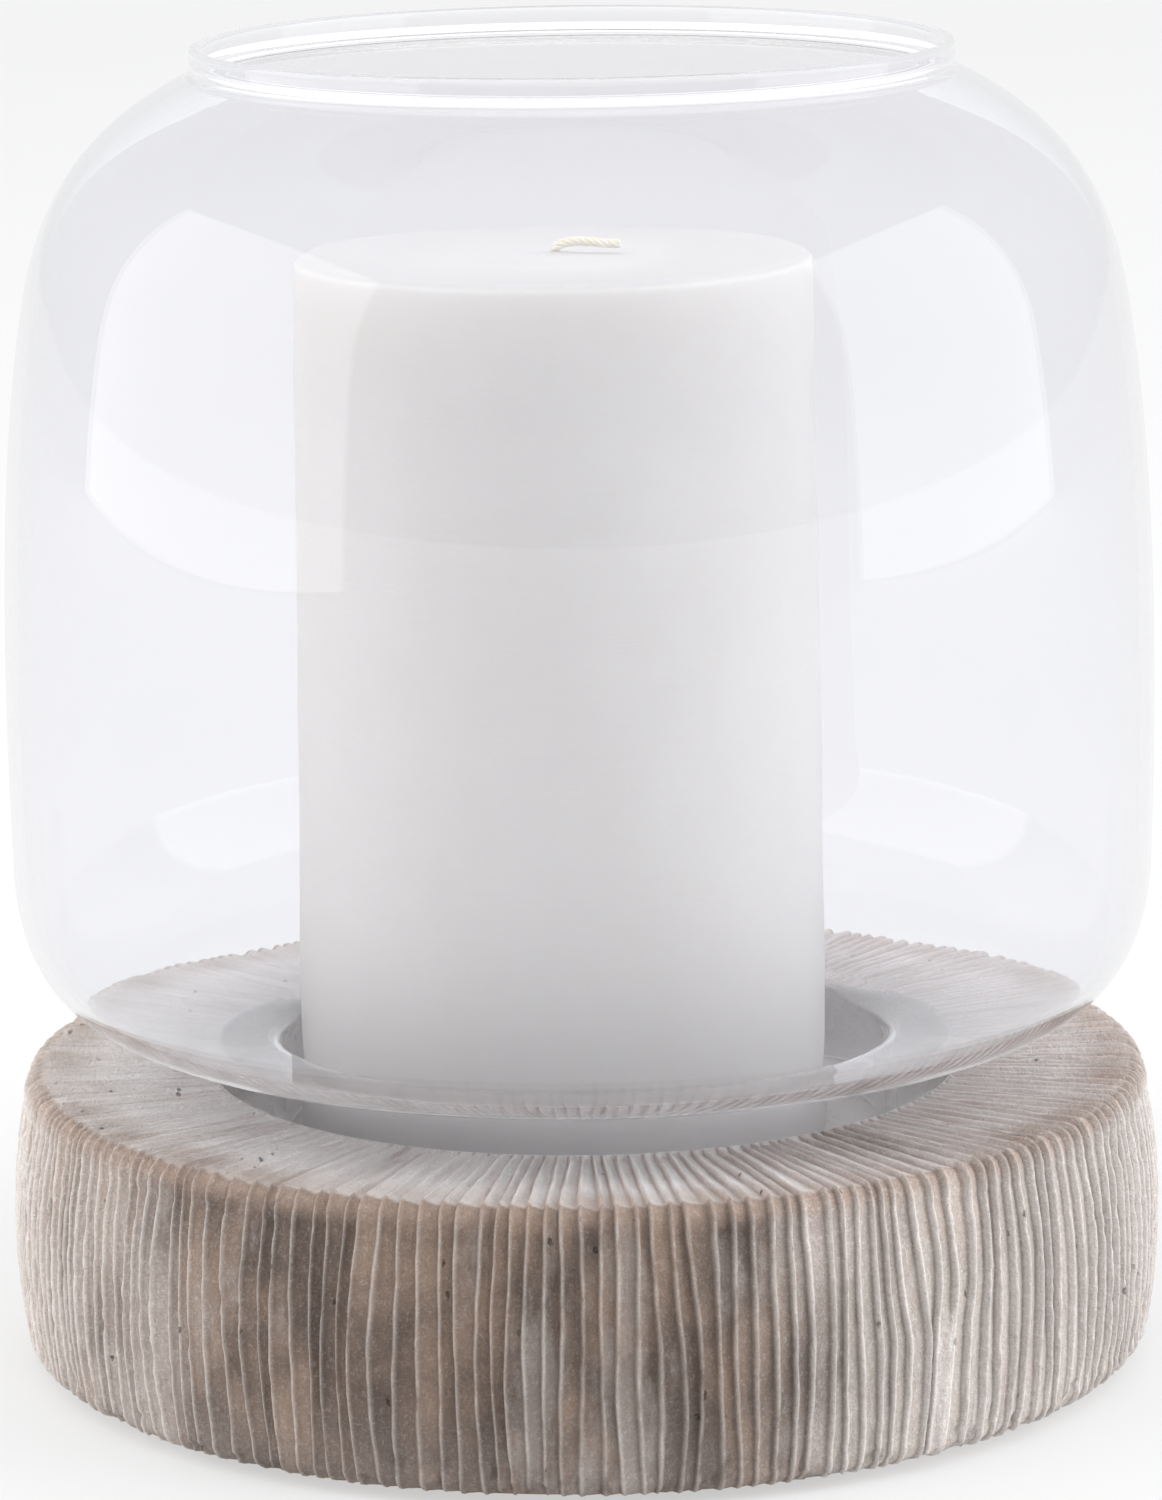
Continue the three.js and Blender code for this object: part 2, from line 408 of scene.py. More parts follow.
def comb_tree(material):
    """Carves the combed flutes into the plain turned base: scoops between narrow ridges,
    worn ridges, a coarse grain and chips along the heel."""
    tree, graph, wires = geometry_tree(
        "Combed flutes", ("Side depth", "Top depth", "Grain", "Chips"))

    def read(name, kind="FLOAT"):
        return graph.node("GeometryNodeInputNamedAttribute", {"data_type": kind}, {"Name": name})

    across, over, comb, width = map(read, ("across", "over", "comb", "width"))
    lay = read("lay", "FLOAT_VECTOR")
    spot = graph.node("GeometryNodeInputPosition")
    edge = graph.sum("MINIMUM", across, 1 - across) * graph.ramp(width, 0, 0.5)
    floor = graph.ramp(across, 0.02, 0.25) * 0.6 + graph.ramp(across, 0.25, 0.8) * 0.45
    scoop = floor * graph.ramp(across, 0.8, 1, 1, 0)
    # crease marks the deep side of each scoop, next to the following ridge; the clay material
    # paints shade there.
    crease = graph.ramp(across, 0.6, 0.82) * graph.ramp(across, 0.86, 1, 1, 0)
    patches = graph.cloud(lay * (1, 1, 0.35), 90, 2)
    worn = graph.ramp(graph.cloud(lay, 160, 2, shift=3), 0.52, 0.74)
    depth = wires["Side depth"] * (1 - over) + wires["Top depth"] * over
    depth = depth * comb * graph.ramp(width, 0.12, 0.95, 0, 1.15) * (0.7 + 0.6 * patches)
    tilt = (across - 0.5) * (graph.cloud(lay * (1, 1, 0.1), 60, 1, shift=8) - 0.5)
    nicks = graph.ramp(graph.cloud(lay, 420, 3, 0.65, shift=4), 0.5, 0.72)
    carved = depth * (scoop * (1 + 1.6 * tilt) + (1 - scoop) * (worn * 0.4 + nicks * 0.22))
    grain = (graph.cloud(spot, 620, 4, 0.75) - 0.35) * wires["Grain"]
    low = graph.axis(spot, "Z")
    heel = graph.ramp(low, BASE_FOOT + 1 * MM, BASE_FOOT + 10 * MM, 1, 0)
    chips = graph.ramp(graph.cloud(spot, 130, 4, 0.65, shift=5), 0.52, 0.62) * heel
    total = carved + grain * comb + chips * wires["Chips"] * graph.ramp(comb, 0, 0.1)
    outward = graph.node("GeometryNodeInputNormal")
    proud = graph.ramp(edge, 0, 0.17, 1, 0) * graph.ramp(width, 0.1, 0.6, 0.5, 1)
    ridge = proud * (1 - worn * 0.7) * graph.ramp(comb, 0, 0.4) * (1 - chips)
    stored = wires["Geometry"]
    for name, value in (("ridge", ridge), ("crease", crease * graph.ramp(width, 0.3, 0.8))):
        stored = graph.node(
            "GeometryNodeStoreNamedAttribute", None,
            {"Geometry": stored, "Name": name, "Value": value})
    moved = graph.node("GeometryNodeSetPosition", None, {
        "Geometry": stored, "Offset": outward * (total * -1.0)})
    finish_tree(graph, moved, material)
    return tree


def clay_material(settings):
    """Combed clay with lime wash: warm clay where it is rubbed, a grey wash in streaks
    along the flutes, white lime left on the ridges, pinholes and a dusty grain. Light and
    shade are painted in as well: paler wash and more lime on the flanks towards the side
    lamps, painted shade in the crease of each scoop and in the pinholes, and near-white
    chalk in the well that stands for light in its shade."""
    material, graph = new_material("limed clay")
    spot = graph.spot()

    def read(name, out="Fac"):
        return graph.node("ShaderNodeAttribute", {"attribute_name": name}, out=out)

    lay = read("lay", "Vector")
    ridge, over, comb, crease = map(read, ("ridge", "over", "comb", "crease"))
    clay, umber, wash, lime = colours(settings, "clay", "umber", "wash", "lime")
    pale, peach, mauve, chalk = colours(settings, "pale", "peach", "mauve", "chalk")
    height = graph.axis(spot, "Z")

    streaks = graph.cloud(lay * (1, 1, 0.2), 130, 6, 0.68)
    scratches = graph.cloud(lay * (1, 1, 0.06), 900, 3, 0.65, shift=7)
    patches = graph.cloud(lay * (1, 1, 0.5), 62, 3, 0.6, shift=2)
    blotches = graph.cloud(lay * (1, 1, 0.7), 24, 2, shift=6)
    dust = graph.cloud(spot, 900, 3, 0.65)

    # Painted light: the flanks of the base, towards the side lamps and more so on the right, get
    # more grey wash, the pale wash, more and broader lime on the ridges, more chalk specks and
    # less painted shade in the creases.
    side = graph.axis(spot, "X")
    lean = graph.sum("MAXIMUM", side, 0.0) * 0.4
    aside = graph.sum("ABSOLUTE", side + 14 * MM) + lean + (blotches - 0.5) * 60 * MM
    painted_side_light = graph.ramp(aside, BASE_RADIUS * 0.35, BASE_RADIUS * 0.95)
    colour = graph.blend(graph.ramp(patches, 0.36, 0.62), clay, umber)
    washed = graph.ramp(streaks + (blotches - 0.5) * 0.7 + painted_side_light * 0.1, 0.48, 0.66)
    low = graph.ramp(height, BASE_FOOT, BASE_FOOT + 22 * MM, 1, 0)
    washed = graph.sum("MINIMUM", washed * 0.75 + low * 0.3, 1.0)
    above = graph.ramp(over + (patches - 0.5) * 0.9, 0.55, 1)
    brow = graph.ramp(height, BASE_TOP - 6 * MM, BASE_TOP - 1.5 * MM) * (1 - above) * comb
    colour = graph.blend(washed, colour, wash)
    # Painted light: the pale wash on the flanks.
    colour = graph.blend(painted_side_light * 0.6, colour, pale)
    colour = graph.blend(brow * (0.65 + patches * 0.35), colour, peach)
    worn = graph.ramp(scratches, 0.4, 0.66) * 0.35 + crease * 0.75
    topping = graph.blend(worn, chalk, mauve)
    out = graph.sum("LENGTH", spot * (1, 1, 0.0), out="Value")
    rubbed = graph.ramp(out, BASE_RADIUS - 24 * MM, BASE_RADIUS - 7 * MM) * patches
    topping = graph.blend(graph.ramp(rubbed, 0.1, 0.75) * 0.8, topping, peach)
    colour = graph.blend(above, colour, topping)
    # The lime on the ridges is real; its spread and strength on the flanks are painted light.
    broad = graph.ramp(ridge + painted_side_light * 0.12, 0, 1 - painted_side_light * 0.45)
    limed = broad * (0.14 + streaks * 0.5 + painted_side_light * 0.55) * (1 - brow * 0.6) * (1 - above)
    limed = limed + graph.ramp(streaks, 0.5, 0.75) * 0.3 * (1 - above) * painted_side_light
    colour = graph.blend(limed, colour, lime)
    grain = graph.cloud(spot, 2200, 3, 0.7)
    fine = graph.ramp(grain * 0.6 + dust * 0.4, 0.48, 0.7)
    # Chalk specks, with more of them on the flanks as painted light.
    colour = graph.blend(fine * (0.12 + painted_side_light * 0.16), colour, chalk)
    # Painted light: the well's wall and floor are painted near-white chalk, standing for light in
    # the shade of the candle and the glass.
    inside = 1 - graph.ramp(comb, 0, 0.2)
    colour = graph.blend(inside * over * 0.9, colour, chalk)
    # Painted shade: umber in the crease of each scoop, less on the flanks and none on the top. The
    # scratch marks added to it are real marks.
    crease_shade_and_scratches = crease * (0.3 + patches * 0.45) * (1 - above) * (1 - painted_side_light * 0.3)
    crease_shade_and_scratches = crease_shade_and_scratches + graph.ramp(scratches, 0.52, 0.75) * 0.25 * (1 - above)
    colour = graph.blend(graph.sum("MINIMUM", crease_shade_and_scratches, 1.0), colour, umber)
    dusty = graph.blend(dust * 0.5 + grain * 0.5, (0.45, 0.43, 0.41, 1), (1.3, 1.3, 1.3, 1))
    colour = graph.blend(0.75 - above * 0.35, colour, dusty, "MULTIPLY")

    cells = graph.node("ShaderNodeTexVoronoi", None, {
        "Vector": spot * (1, 1, 0.6), "Scale": 300.0, "Randomness": 1.0})
    chosen = graph.ramp(graph.cloud(spot, 95, 1, shift=9), 0.59, 0.64)
    ragged = cells + (grain - 0.5) * 0.3
    holes = graph.ramp(ragged, 0.06, 0.16, 1, 0) * chosen
    # Painted shade: the pinholes are painted dark, as well as sunk by the bump.
    colour = graph.blend(holes * 0.55, colour, shade_of(70, 58, 50))
    relief = dust * 1.0 + grain * 0.7 + streaks * 0.4 + scratches * 0.3 - holes * 1.6
    surface(graph, colour, 0.86 + dust * 0.1, {"Specular IOR Level": 0.3}, (relief, 0.45 * MM))
    return material


def make_base(settings):
    """The turned base with its flutes laid out along the mesh, then carved."""
    rows, over, comb = base_profile()
    edges, widths = flute_edges(settings, rows)
    following = np.c_[edges[:, 1:], edges[:, :1] + TURN]
    steps = np.array(FLUTE_STEPS)
    angles = edges[:, :, None] + (following - edges)[:, :, None] * steps
    angles = angles.reshape(len(rows), -1)
    columns = angles.shape[1]
    grid = turned(rows[:, :1], angles, rows[:, 1:])
    faces = ring_faces(len(rows), columns, False)
    faces.append(tuple(range(columns))[::-1])
    last = (len(rows) - 1) * columns
    faces.append(tuple(range(last, last + columns)))
    made = mesh_object("base_combed", grid.reshape(-1, 3), faces)

    run = np.r_[0, np.cumsum(np.hypot(*np.diff(rows, axis=0).T))]
    lay = turned(BASE_RADIUS, np.arange(columns) * TURN / columns, run[:, None])
    per_row = np.ones((1, columns))
    store(made, across=np.tile(steps, (len(rows), settings.flutes)), over=over[:, None] * per_row,
          comb=comb[:, None] * per_row, width=np.repeat(widths, len(steps), 1), lay=lay)
    run_tree(made, comb_tree(clay_material(settings)), {
        "Side depth": settings.side_depth, "Top depth": settings.top_depth,
        "Grain": settings.grain, "Chips": settings.chips,
    })
    place(made, "base", "cast_body", "base")


# ---- shade

def shade_outline():
    """The outside of the blown shade from the collar's foot to the top of its lip."""
    level, cone_angle, round_off = BASE_FOOT, 15.5, 1.1 * MM
    collar = 59.0 * MM
    belly = (90.0 * MM, level + 64.7 * MM)
    side = (106.8 * MM, level + 94.0 * MM)
    shoulder = (101.4 * MM, level + 200.0 * MM)
    neck = (69.3 * MM, level + 239.8 * MM)
    lip = 70.1 * MM
    turn_out = level + 56.0 * MM
    cone = along(belly, 180 + cone_angle, belly[0] - collar - 2 * MM)
    return np.array(outline(
        (collar, SHADE_FOOT + round_off),
        (6, (collar, turn_out - 2 * MM)),
        (8, (collar, turn_out), cone),
        (10, belly),
        (22, along(belly, cone_angle, 11 * MM), along(side, -90, 16 * MM), side),
        (24, along(side, 88.8, 32 * MM), along(shoulder, -79.2, 32 * MM), shoulder),
        (26, along(shoulder, 100.8, 20 * MM), along(neck, -25, 20 * MM), neck),
        (5, (lip, neck[1]), (lip, neck[1] + 1.8 * MM)),
        (3, (lip, SHADE_TOP - round_off)),
    ))


def shade_profile(wall):
    """The outside, a rounded lip, the inside one wall further in, and a rounded foot."""
    outside = shade_outline()
    run = np.gradient(outside, axis=0)
    run /= np.hypot(run[:, 0], run[:, 1])[:, None]
    offset = outside + wall * np.c_[-run[:, 1], run[:, 0]]
    # In the hollow under the lip the offset folds back on itself; those points go.
    gap = np.hypot(*(offset[:, None] - outside).transpose(2, 0, 1)).min(axis=1)
    inside = []
    for point in offset[gap > 0.98 * wall]:
        if point[1] < SHADE_TOP - 12 * MM or point[1] > inside[-1][1]:
            inside.append(point)
    inside = inside[::-1]

    def rounded(start, end, steps=8):
        middle, arm = (start + end) / 2, (start - end) / 2
        turns = [math.pi * i / steps for i in range(1, steps)]
        return [middle + (arm[0] * math.cos(t) - arm[1] * math.sin(t),
                          arm[0] * math.sin(t) + arm[1] * math.cos(t)) for t in turns]

    return np.array([*outside, *rounded(outside[-1], inside[0]), *inside,
                     *rounded(inside[-1], outside[0])])


def glass_material(settings):
    """Clear blown glass, with a faint glow from its faces: painted light that stands for
    the haze of dust on it.
    """
    material, graph = new_material("clear glass")
    surface(graph, (*settings.tint, 1.0), 0.0, {
        "IOR": 1.5, "Transmission Weight": 1.0, "Emission Color": WHITE,
        "Emission Strength": settings.painted_haze_glow})
    return material


def make_shade(settings):
    """The shade, with the slight waves that blowing leaves in its walls."""
    def waves(grid, turn, radius, level):
        swell = sum(np.sin(n * turn + 1.7 * n + level / (height * MM)) / n
                    for n, height in ((2, 46.0), (3, 31.0), (5, 22.0)))
        body = np.clip((level - BASE_FOOT - 62 * MM) / (25 * MM), 0, 1)
        body *= np.clip((BASE_FOOT + 236 * MM - level) / (20 * MM), 0, 1)
        return 1 + settings.waves * (swell - 1) * body / radius, 0.0

    made = spun("glass_shade_blown", shade_profile(settings.wall), 256, shift=waves)
    made.data.materials.append(glass_material(settings))
    place(made, "shade", "clear_glass", "glass_shade")


# ---- candle

def wax_material(settings):
    """Hard white wax: fine turning lines, faint clouds and a soft inner glow, with painted
    shade greying its top face.
    """
    material, graph = new_material("candle wax")
    spot = graph.spot()
    height = graph.axis(spot, "Z")
    wax = (*settings.wax, 1.0)
    clouds = graph.cloud(spot * (1, 1, 0.5), 28, 3)
    level = graph.node("ShaderNodeCombineXYZ", None, {2: height})
    lines = graph.cloud(level * 1 + spot * (0.05, 0.05, 0), 1500, 3, 0.7)
    bloom = graph.cloud(spot, 140, 4, 0.65)
    colour = graph.blend(graph.ramp(clouds, 0.3, 0.75) * 0.35, wax, shade_of(234, 231, 227))
    colour = graph.blend(lines * 0.16, colour, shade_of(212, 210, 208))
    # Painted shade: the top face and the top of the rounded edge are painted greyer, which dims
    # them under the overhead light.
    crown = graph.ramp(height, CANDLE_TOP - 1.5 * MM, CANDLE_TOP - 0.6 * MM)
    colour = graph.blend(crown * 0.8, colour, shade_of(214, 213, 214))
    surface(graph, colour, 0.42 + bloom * 0.22, {
        "IOR": 1.44, "Subsurface Weight": 0.6, "Subsurface Radius": (1.0, 0.95, 0.85),
        "Subsurface Scale": 9 * MM}, (lines * 0.35 + bloom * 0.4, 0.12 * MM))
    return material


def candle_profile(settings):
    """Rounded foot and shoulder, a top that is a little proud round its edge, a shallow
    well at the wick, and the seat of the sustainer underneath."""
    foot, top, radius = CANDLE_FOOT, CANDLE_TOP, CANDLE_RADIUS
    slim = radius - settings.taper
    round_off, dish = settings.edge, settings.dish
    _, plate_radius, _, neck_top = spread("wick_sustainer")
    seat_radius, seat_top = plate_radius + 0.3 * MM, foot + 1.1 * MM
    hole, hole_top = 2.2 * MM, neck_top + 0.6 * MM
    wick, rim, dip = 1.0 * MM, slim - 1.4 * round_off, top - dish
    return outline(
        (wick, hole_top),
        (2, (hole, hole_top)),
        (4, (hole, seat_top)),
        (4, (seat_radius, seat_top)),
        (2, (seat_radius, foot)),
        (10, (radius - round_off, foot)),
        (6, (radius, foot), (radius, foot + round_off)),
        (80, (slim, top - round_off)),
        (8, (slim, top), (rim, top)),
        (20, (rim - 5 * MM, top), (slim * 0.6, dip), (slim * 0.3, dip)),
        (12, (slim * 0.12, dip), (3.2 * MM, dip + 0.2 * MM), (wick, dip + 0.7 * MM)),
        (12, (wick, hole_top)),
    )[:-1]


def make_candle(settings):
    """The pillar, with the hand-finished unevenness of its side and top."""
    lumps = 34.0    # on each metre

    def uneven(grid, turn, radius, level):
        spots = grid.reshape(-1, 3)
        lift = np.array([noise.noise(Vector(p) * lumps) for p in spots])
        lift = lift.reshape(grid.shape[:2])
        free = np.clip((radius - 8 * MM) / (10 * MM), 0, 1)
        pull = 1 + settings.uneven * (lift - 1) * free / CANDLE_RADIUS
        high = np.clip((level - CANDLE_TOP + 6 * MM) / (6 * MM), 0, 1) * free
        return pull, high * settings.uneven * (lift - 1)

    made = spun("candle_pillar", candle_profile(settings), 192, (CANDLE_X, 0.0), uneven)
    made.data.materials.append(wax_material(settings))
    place(made, "candle", "candle_wax", "candle")


# ---- wick

def cotton_material(settings):
    """Waxed cotton: threads yellowed where they stand proud, paler in patches."""
    material, graph = new_material("wick cotton")
    spot = graph.spot()
    threads = graph.cloud(spot, 2600, 3, 0.7)
    patches = graph.cloud(spot, 420, 2)
    cotton = (*settings.cotton, 1.0)
    colour = graph.blend(graph.ramp(patches, 0.35, 0.65), cotton, shade_of(248, 244, 234))
    colour = graph.blend(graph.ramp(threads, 0.5, 0.7) * 0.4, colour, shade_of(212, 194, 156))
    surface(graph, colour, 0.7 + threads * 0.2, {"Sheen Weight": 0.3}, (threads, 0.15 * MM))
    return material


def braid_tree(material):
    """Winds several threads round one path: each is a copy of the path, pushed out to a
    helix by its own share of a turn and given a round section."""
    tree, graph, wires = geometry_tree(
        "Braided wick", ("Thread radius", "Lay", "Spread"), ("Threads",))
    path = graph.node("GeometryNodeResampleCurve", None, {
        "Curve": wires["Geometry"], "Count": 420})
    copies = graph.node("GeometryNodeDuplicateElements", {"domain": "SPLINE"}, {
        "Geometry": path, "Amount": wires["Threads"]})
    index = Wire(graph, copies.socket.node.outputs["Duplicate Index"])
    length = graph.node("GeometryNodeSplineParameter", out="Length")
    turn = (index / wires["Threads"] + length / wires["Lay"]) * TURN
    normal = graph.node("GeometryNodeInputNormal")
    tangent = graph.node("GeometryNodeInputTangent")
    side = graph.sum("CROSS_PRODUCT", tangent, normal)
    reach = normal * graph.sum("COSINE", turn) + side * graph.sum("SINE", turn)
    wound = graph.node("GeometryNodeSetPosition", None, {
        "Geometry": copies, "Offset": reach * wires["Spread"]})
    section = graph.node("GeometryNodeCurvePrimitiveCircle", None, {
        "Resolution": 8, "Radius": wires["Thread radius"]})
    threads = graph.node("GeometryNodeCurveToMesh", None, {
        "Curve": wound, "Profile Curve": section, "Fill Caps": True})
    smooth = graph.node("GeometryNodeSetShadeSmooth", None, {"Geometry": threads})
    finish_tree(graph, smooth, material)
    return tree


def make_wick(settings):
    """The wick: up through the candle, over, and lying along its top."""
    foot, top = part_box("wick")[0][2], CANDLE_TOP
    bend = top + 1.5 * MM
    tip_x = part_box("wick")[1][0] - 1.2 * MM
    route = [(0, 0, foot), (0, 0, top - 20 * MM), (0, 0, top - 0.6 * MM),
             (0.8 * MM, 0, bend - 0.5 * MM), (2.8 * MM, 0.1 * MM, bend + 0.25 * MM),
             (6.0 * MM, 0.3 * MM, bend + 0.35 * MM), (9.8 * MM, 0.5 * MM, bend - 0.1 * MM),
             (tip_x - CANDLE_X, 0.7 * MM, bend - 0.2 * MM)]
    shape = bpy.data.curves.new("wick_route", "CURVE")
    shape.dimensions = "3D"
    shape.resolution_u = 16
    spline = shape.splines.new("BEZIER")
    spline.bezier_points.add(len(route) - 1)
    for knot, (x, y, z) in zip(spline.bezier_points, route):
        knot.co = (x + CANDLE_X, y, z)
        knot.handle_left_type = knot.handle_right_type = "AUTO"
    made = new_object("wick_braid", shape)
    made = run_tree(made, braid_tree(cotton_material(settings)), {
        "Threads": settings.threads, "Thread radius": settings.thread_radius,
        "Lay": settings.lay, "Spread": settings.spread,
    })
    place(made, "candle", "wick_cotton", "wick")


# ---- sustainer

def steel_material(settings):
    """Thin tinned steel with rolling marks and a little dulling."""
    material, graph = new_material("tinned steel")
    spot = graph.spot()
    marks = graph.cloud(spot * (1, 0.05, 1), 2400, 3, 0.6)
    bloom = graph.cloud(spot, 180, 3)
    colour = graph.blend(bloom, (*settings.steel, 1.0), shade_of(168, 170, 172))
    roughness = 0.26 + marks * 0.2 + bloom * 0.12
    surface(graph, colour, roughness, {"Metallic": 1.0}, (marks, 0.03 * MM))
    return material


def make_sustainer(settings):
    """Stamped plate with a pressed ring, a turned-down rim and a neck crimped on the wick."""
    _, radius, foot, top = spread("wick_sustainer")
    bore, neck, plate = 1.05 * MM, 1.7 * MM, 0.5 * MM
    under, lift, turn_down = foot + 0.05 * MM, 0.25 * MM, 0.4 * MM
    upper, sweep = foot + plate, 0.8 * MM
    points = outline(
        (bore, under),
        (6, (radius * 0.45, under)),
        (8, (radius * 0.55, foot + lift), (radius * 0.65, under)),
        (5, (radius - turn_down, foot)),
        (4, (radius, foot), (radius, foot + lift)),
        (4, (radius, upper), (radius - turn_down, upper)),
        (14, (neck + sweep, upper)),
        (6, (neck, upper), (neck, upper + sweep)),
        (16, (neck, top - 0.15 * MM)),
        (4, (neck - 0.1 * MM, top), (bore + 0.2 * MM, top)),
        (2, (bore, top - 0.3 * MM)),
        (16, (bore, under)),
    )[:-1]

    def crimped(grid, turn, width, level):
        share = (level - foot) / (top - foot)
        squeeze = np.exp(-((share - 0.62) / 0.2) ** 2) * (0.5 + 0.5 * np.cos(4 * turn))
        squeeze = squeeze * (width > (bore + neck) / 2)
        return 1 - 0.16 * squeeze * (share > 0.2), 0.0

    made = spun("sustainer_stamped", points, 72, (CANDLE_X, 0.0), crimped)
    made.data.materials.append(steel_material(settings))
    place(made, "candle", "tinned_steel", "wick_sustainer")


# ---- pads

def felt_material(settings):
    """Pressed felt: matted fibres in a few greys."""
    material, graph = new_material("felt")
    spot = graph.spot()
    fibres = graph.cloud(spot, 1900, 5, 0.75)
    tufts = graph.cloud(spot, 300, 2)
    colour = graph.blend(fibres, (*settings.felt, 1.0), shade_of(122, 114, 106))
    colour = graph.blend(graph.ramp(tufts, 0.4, 0.7) * 0.3, colour, shade_of(58, 53, 49))
    surface(graph, colour, 0.92 + fibres * 0.08, {"Sheen Weight": 0.5}, (fibres, 0.3 * MM))
    return material


def fibre_tree(material):
    """Scatters short bent fibres round the cut edge of a felt disc."""
    tree, graph, wires = geometry_tree("Felt edge", ("Fibres", "Length", "Thickness"), ("Seed",))
    spot = graph.node("GeometryNodeInputPosition")
    outward = graph.node("GeometryNodeInputNormal")
    up = graph.axis(outward, "Z")
    rim = graph.node("FunctionNodeCompare", {"operation": "LESS_THAN"}, {
        0: graph.sum("ABSOLUTE", up), 1: 0.5})
    points = graph.node("GeometryNodeDistributePointsOnFaces", None, {
        "Mesh": wires["Geometry"], "Selection": rim, "Density": wires["Fibres"],
        "Seed": wires["Seed"]})
    facing = Wire(graph, points.socket.node.outputs["Rotation"])
    fibre = graph.node("GeometryNodeMeshCone", {"fill_type": "TRIANGLE_FAN"}, {
        "Vertices": 4, "Side Segments": 1, "Radius Top": 0.0,
        "Radius Bottom": wires["Thickness"], "Depth": wires["Length"]})
    tilt = graph.node("FunctionNodeRandomValue", {"data_type": "FLOAT_VECTOR"}, {
        0: (-1.1, -1.1, 0.0), 1: (1.1, 1.1, TURN), "Seed": wires["Seed"]})
    leaning = graph.node("FunctionNodeRotateRotation", {"rotation_space": "LOCAL"}, {
        0: facing, 1: tilt})
    tufts = graph.node("GeometryNodeInstanceOnPoints", None, {
        "Points": points, "Instance": fibre, "Rotation": leaning})
    both = tree.nodes.new("GeometryNodeJoinGeometry")
    for part in (tufts, wires["Geometry"]):
        tree.links.new(part.socket, both.inputs[0])
    real = graph.node("GeometryNodeRealizeInstances", None,
                      {"Geometry": Wire(graph, both.outputs[0])})
    above = graph.sum("MAXIMUM", spot, (-1.0, -1.0, 0.0))
    level = graph.node("GeometryNodeSetPosition", None, {"Geometry": real, "Position": above})
    finish_tree(graph, level, material)
    return tree


def make_pads(settings):
    """Four felt discs, each with a pressed edge and a fuzzy rim."""
    material = felt_material(settings)
    tree = fibre_tree(material)
    pads = sorted(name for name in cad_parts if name.startswith("foot_pad"))
    for index, node in enumerate(pads):
        middle, widest, foot, _ = spread(node)
        radius, top, soft = widest - 0.2 * MM, BASE_FOOT, 0.35 * MM
        points = outline(
            (0.0, foot),
            (8, (radius - soft, foot)),
            (4, (radius, foot), (radius, foot + soft)),
            (3, (radius, top)),
            (6, (0.0, top)),
        )
        made = spun(f"felt_pad_{index + 1}", points, 48, middle)
        run_tree(made, tree, {"Fibres": settings.fibres, "Length": 0.5 * MM,
                              "Thickness": 0.03 * MM, "Seed": index})
        place(made, "base", "felt", node)


# ---- studio

def floor_material(settings):
    """A pale matt table that is softly lit from below."""
    material, graph = new_material("studio floor")
    spot = graph.spot()
    tone = graph.cloud(spot, 3, 2)
    pale = (*settings.floor, 1.0)
    colour = graph.blend(tone * 0.04, pale, (0.8, 0.8, 0.8, 1.0))
    surface(graph, colour, 0.9, {
        "Specular IOR Level": 0.1, "Emission Color": WHITE,
        "Emission Strength": settings.table_glow})
    return material


def mirror_image(graph):
    """One for a ray that saw only mirrors on its way, nought for light on matt surfaces."""
    glossy, diffuse = (
        graph.sum("MINIMUM", graph.node("ShaderNodeLightPath", out=depth), 1.0)
        for depth in ("Glossy Depth", "Diffuse Depth"))
    return glossy * (1 - diffuse)


